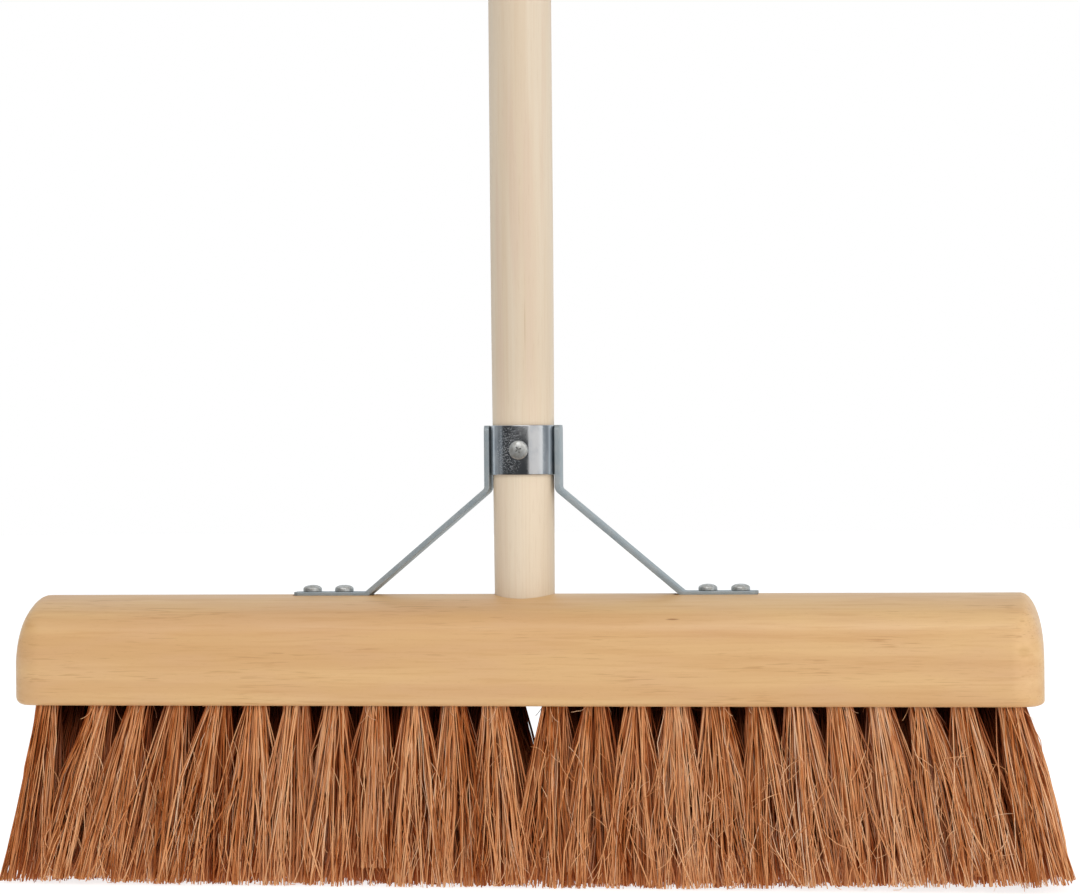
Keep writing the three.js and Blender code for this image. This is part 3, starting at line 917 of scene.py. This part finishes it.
# Legs of the stay
# Two flat strips of zinc-plated steel, duller than the band. Each stands on the band, bends
# out at an elbow, slants down to the stock and bends flat again into a foot for two screws.
strip_width = 12 * MM
strip_thickness = 2.35 * MM
strip_edge = 0.3 * MM
elbow_height = stock_high.z + 46.5 * MM
bend_radius = 2.8 * MM
bend_steps = 10
foot_corner = 2.5 * MM
foot_corner_steps = 8


def bent_line(corners, radius):
    """A line through corners in the XZ plane with each inner corner rounded."""
    line = [corners[0]]
    for before, corner, after in zip(corners, corners[1:], corners[2:]):
        arrive, leave = (corner - before).normalized(), (after - corner).normalized()
        half_turn = arrive.angle(leave) / 2
        start = corner - arrive * radius * math.tan(half_turn)
        centre = corner + (leave - arrive).normalized() * radius / math.cos(half_turn)
        spoke = start - centre
        turning = math.copysign(1, arrive.cross(leave).y)
        for step in range(bend_steps + 1):
            turn = Matrix.Rotation(turning * 2 * half_turn * step / bend_steps, 3, "Y")
            line.append(centre + turn @ spoke)
    line.append(corners[-1])
    return line


def with_rounded_tips(line, corner):
    """Extra points near both ends of a line, where the strip's corners are rounded off."""
    steps = range(1, foot_corner_steps + 1)
    shares = [1 - math.cos(math.pi / 2 * k / foot_corner_steps) for k in steps]
    first = (line[1] - line[0]).normalized()
    last = (line[-2] - line[-1]).normalized()
    return (
        [line[0]] + [line[0] + first * corner * s for s in shares] + line[1:-1]
        + [line[-1] + last * corner * s for s in reversed(shares)] + [line[-1]]
    )


def leg(name, side):
    """One leg of the stay, on the left for side -1 and on the right for side 1."""
    middle = strip_thickness / 2
    upright = band_flat + socket_play + middle
    corners = [
        Vector((upright, 0, foot_high.z)),
        Vector((upright, 0, elbow_height)),
        Vector((foot_start, 0, foot_low.z + middle)),
        Vector((foot_high.x, 0, foot_low.z + middle)),
    ]
    line = with_rounded_tips(bent_line(corners, bend_radius), foot_corner)
    lengths = [0]
    for before, after in zip(line, line[1:]):
        lengths.append(lengths[-1] + (after - before).length)
    rings = []
    for k, point in enumerate(line):
        heading = (line[min(k + 1, len(line) - 1)] - line[max(k - 1, 0)]).normalized()
        outward = Vector((heading.z, 0, -heading.x))
        from_end = min(lengths[k], lengths[-1] - lengths[k])
        width = strip_width - 2 * round_off(from_end, foot_corner, foot_corner)
        rings.append([
            (side * (point + outward * depth).x, across * width / strip_width,
             (point + outward * depth).z)
            for across, depth in rounded_strip(strip_width, strip_thickness, strip_edge)
        ])
    return loft(name, rings)


dull_zinc, dull_surface = new_finish("dull_zinc")
cloud = ease(dull_zinc, marks(dull_zinc, (5 * MM, 5 * MM, 5 * MM), 3), 0.35, 0.65)
fleck = ease(dull_zinc, marks(dull_zinc, (0.5 * MM, 0.5 * MM, 0.5 * MM), 3, 0.7), 0.4, 0.7)
colour = mixed(dull_zinc, cloud, paint(159, 170, 176), paint(171, 178, 181))
colour = mixed(dull_zinc, times(dull_zinc, fleck, 0.3), colour, paint(138, 150, 158))
feed(dull_zinc, dull_surface.inputs["Base Color"], colour)
dull_surface.inputs["Metallic"].default_value = 0.45
feed(dull_zinc, dull_surface.inputs["Roughness"], ease(dull_zinc, fleck, 0, 1, 0.5, 0.62))
relief(dull_zinc, dull_surface, fleck, 0.2, 0.05 * MM)

for side_name, side in (("left", -1), ("right", 1)):
    strip = leg(f"stay_leg_{side_name}", side)
    holes = []
    for place in ("outer", "inner"):
        screw_low, screw_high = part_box(f"{side_name}_foot_screw_{place}")
        x = (screw_low.x + screw_high.x) / 2
        holes.append(round_bar(
            "hole", Vector((x, 0, foot_low.z - cutting_room)), Vector((x, 0, foot_low.z + 5 * MM)),
            screw_hole_radius, screw_hole_radius))
    cut(strip, holes)
    dress(strip, dull_zinc, "zinc_steel", f"{side_name}_leg")

# Screws
# Five plated steel wood screws with pan heads and cross recesses: two down through each
# foot into the stock, and a lower-headed one through the collar into the handle.
head_radius = 4.2 * MM
head_rim = 1.2 * MM
head_edge = 0.25 * MM
thread_pitch = 1.8 * MM
thread_depth = 0.5 * MM
thread_sides = 24
thread_steps_per_turn = 8
thread_flank = 2.4
smooth_neck = 0.3
screw_tip = 5 * MM
blunt_point = 0.08
recess_width = 0.8 * MM
recess_span = 3.6 * MM
recess_depth = 1 * MM
recess_foot_growth = 0.55
recess_top_growth = 1.9


def threaded_shank(length):
    """Rings of a pointed shank with a thread wound round it, its top at height zero."""
    steps = round(length / thread_pitch * thread_steps_per_turn)
    rings = []
    for step in range(steps + 1):
        z = -length + length * step / steps
        body = screw_shank_radius * min(1, blunt_point + (z + length) / screw_tip)
        threaded = z <= -length * smooth_neck
        ring = []
        for k in range(thread_sides):
            angle = 2 * math.pi * k / thread_sides
            phase = (z / thread_pitch - k / thread_sides) % 1
            ridge = threaded * thread_depth * min(1, body / screw_shank_radius)
            radius = body - ridge * min(1, thread_flank * abs(phase - 0.5))
            ring.append((radius * math.cos(angle), radius * math.sin(angle), z))
        rings.append(ring)
    return rings


def recess_bar(height, turn):
    """One bar of the cross recess, which narrows as it goes down into a head of a height."""
    spin = Matrix.Rotation(math.radians(turn), 3, "Z")
    outline = [(-1, -1), (1, -1), (1, 1), (-1, 1)]
    levels = (
        (height - recess_depth, recess_foot_growth),
        (height + cutting_room, recess_top_growth),
    )
    return loft("recess", [
        [spin @ Vector((x * recess_span / 2 * grow, y * recess_width / 2 * grow, z))
         for x, y in outline]
        for z, grow in levels
    ])


def pan_screw(name, length, height):
    """A whole screw, pointing down, with the underside of its head at height zero."""
    dome = arc((0, 0), 1, 0, 84, 12)
    head_profile = [(head_radius - head_edge, 0), (head_radius, head_edge), (head_radius, head_rim)]
    head_profile += [
        (head_radius * (0.1 + 0.9 * across), head_rim + (height - head_rim) * up)
        for across, up in dome[1:]
    ]
    head = [level_ring(radius, z, thread_sides) for radius, z in head_profile]
    screw = loft(name, threaded_shank(length) + head)
    for turn in (0, 90):
        cut(screw, [recess_bar(height, turn)])
    return screw


screw_steel, screw_surface = new_finish("screw_steel")
tarnish = ease(screw_steel, marks(screw_steel, (1.4 * MM, 1.4 * MM, 1.4 * MM), 3, 0.6), 0.35, 0.7)
colour = mixed(screw_steel, tarnish, paint(206, 208, 208), paint(176, 176, 172))
feed(screw_steel, screw_surface.inputs["Base Color"], colour)
screw_surface.inputs["Metallic"].default_value = 0.8
feed(screw_steel, screw_surface.inputs["Roughness"], ease(screw_steel, tarnish, 0, 1, 0.42, 0.56))
relief(screw_steel, screw_surface, tarnish, 0.2, 0.08 * MM)

# Every screw has stopped at another turn.
foot_head_height = 3 * MM
collar_head_height = 2.4 * MM
first_foot_turn = 0.7
next_foot_turn = 1.1
collar_turn = 0.5
for number, node in enumerate(screw_names):
    screw_low, screw_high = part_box(node)
    under_head = foot_low.z + strip_thickness + socket_play
    screw = pan_screw(f"pan_screw_{node}", under_head - screw_low.z, foot_head_height)
    place = Matrix.Translation(((screw_low.x + screw_high.x) / 2, 0, under_head))
    stop_turn = first_foot_turn + next_foot_turn * number
    screw.data.transform(place @ Matrix.Rotation(stop_turn, 4, "Z"))
    dress(screw, screw_steel, "screw_steel", node, edge=35)

under_head = -band_outer - socket_play
collar_screw = pan_screw(
    "pan_screw_collar", collar_screw_high.y - under_head, collar_head_height)
place = Matrix.Translation((0, under_head, collar_middle)) @ Matrix.Rotation(math.pi / 2, 4, "X")
collar_screw.data.transform(place @ Matrix.Rotation(collar_turn, 4, "Z"))
dress(collar_screw, screw_steel, "screw_steel", "collar_screw", edge=35)

# Floor and light
# A pale glossless floor that throws light back up, and three broad soft lamps, two to the
# right and one high in front. The camera sees a plain white surround, but the broom is lit
# by one that is dim in front, where the studio is dark.
floor_size = 6
floor_thickness = 2 * MM
floor = loft("floor", [
    [(-floor_size, -floor_size, z), (floor_size, -floor_size, z),
     (floor_size, floor_size, z), (-floor_size, floor_size, z)]
    for z in (-floor_thickness, 0)
])
white_floor, white_surface = new_finish("white_floor")
white_surface.inputs["Base Color"].default_value = (0.4, 0.4, 0.4, 1)
white_surface.inputs["Roughness"].default_value = 0.8
white_surface.inputs["Specular IOR Level"].default_value = 0.1
white_surface.inputs["Emission Color"].default_value = (1, 1, 1, 1)
white_surface.inputs["Emission Strength"].default_value = 0.8
floor.data.materials.append(white_floor)
floor.visible_glossy = False

surround = bpy.data.worlds.new("white_surround")
surround.use_nodes = True
bpy.context.scene.world = surround
sky = surround.node_tree.nodes["Background"]
direction = add(surround, "SeparateXYZ", Vector=add(surround, "TexCoord").outputs["Generated"])
forward = times(surround, direction.outputs["Y"], -1)
turn_from_front = times(surround, direction.outputs["X"], forward, "ARCTAN2")
brightness = add(surround, "ValToRGB", Fac=times(
    surround, times(surround, turn_from_front, 1 / (2 * math.pi)), 0.5, "ADD"))
brightness.color_ramp.interpolation = "LINEAR"

# Degrees round from the front towards the right, and how bright the surround is there.
dark_front = 60
blueness = 0.07
studio = [
    (-180, 0.95), (-115, 0.8), (-104, 0.3), (-96, 0.42), (-84, 0.2), (-76, 0.42), (-66, 0.06),
    (60, 0.08), (80, 0.5), (98, 0.32), (110, 0.75), (180, 0.95),
]
studio_stops = []
for angle, level in studio:
    blue = blueness * level if abs(angle) > dark_front else 0
    studio_stops.append((angle / 360 + 0.5, (level - blue, level, level + blue / 2, 1)))
set_stops(brightness.color_ramp, studio_stops)
ceiling_grey = (0.68, 0.68, 0.68, 1)
plain_white = (1, 1, 1, 1)
seen = add(surround, "LightPath").outputs["Is Camera Ray"]
overhead = ease(surround, direction.outputs["Z"], 0.4, 0.85)
studio_colour = mixed(surround, overhead, brightness.outputs["Color"], ceiling_grey)
sky_colour = mixed(surround, seen, studio_colour, plain_white)
feed(surround, sky.inputs["Color"], sky_colour)
sky.inputs["Strength"].default_value = 1

lamps = {
    "key_lamp": {"turn": 51, "rise": 8, "size": (3, 3), "power": 24, "tint": (1, 0.97, 0.93)},
    "side_lamp": {"turn": 80, "rise": 4, "size": (2, 2), "power": 15, "tint": (1, 0.95, 0.88)},
    "front_lamp": {"turn": 2, "rise": 31, "size": (2.8, 1.4), "power": 33, "tint": (1, 0.98, 0.95)},
}
lamp_reach = 3
lamp_aim = Vector((0, 0, 0.15))
for name, lamp in lamps.items():
    light = bpy.data.lights.new(name, "AREA")
    light.shape = "RECTANGLE"
    light.size, light.size_y = lamp["size"]
    light.energy = lamp["power"]
    light.color = lamp["tint"]
    softbox = bpy.data.objects.new(name, light)
    turn, rise = math.radians(lamp["turn"]), math.radians(lamp["rise"])
    level = math.cos(rise)
    outward = Vector((math.sin(turn) * level, -math.cos(turn) * level, math.sin(rise)))
    softbox.location = lamp_aim + lamp_reach * outward
    softbox.rotation_euler = outward.to_track_quat("Z", "Y").to_euler()
    softbox.visible_glossy = name != "side_lamp"
    bpy.context.scene.collection.objects.link(softbox)
